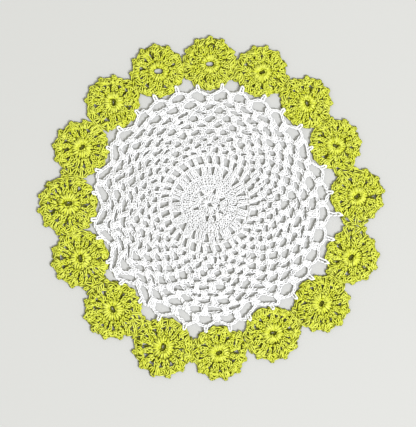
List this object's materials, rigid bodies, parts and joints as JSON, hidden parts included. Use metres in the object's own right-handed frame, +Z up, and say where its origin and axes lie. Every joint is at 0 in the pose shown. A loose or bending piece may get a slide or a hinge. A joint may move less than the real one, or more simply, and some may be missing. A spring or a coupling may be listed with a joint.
{
  "type": "crocheted lace doily",
  "caption": "Round crocheted cotton lace doily: a white openwork net centre with picots, ringed by joined lime flower motifs, lying flat.",
  "frame": {"origin": "middle of the doily's bounding box, on its underside", "axes": "+Z up out of the upper face, +Y towards the top of the picture, +X to its right"},
  "size_m": [0.2502, 0.2482, 0.0025],
  "materials": {
    "white_cotton": "matt mercerised cotton yarn, white, crocheted",
    "lime_cotton": "matt mercerised cotton yarn, lime green, crocheted"
  },
  "bodies": {
    "root": {"lace_centre": "white_cotton", "flower_01": "lime_cotton", "flower_02": "lime_cotton", "flower_03": "lime_cotton", "flower_04": "lime_cotton", "flower_05": "lime_cotton", "flower_06": "lime_cotton", "flower_07": "lime_cotton", "flower_08": "lime_cotton", "flower_09": "lime_cotton", "flower_10": "lime_cotton", "flower_11": "lime_cotton", "flower_12": "lime_cotton", "flower_13": "lime_cotton", "flower_14": "lime_cotton", "flower_15": "lime_cotton", "flower_16": "lime_cotton"}
  },
  "joints": []
}
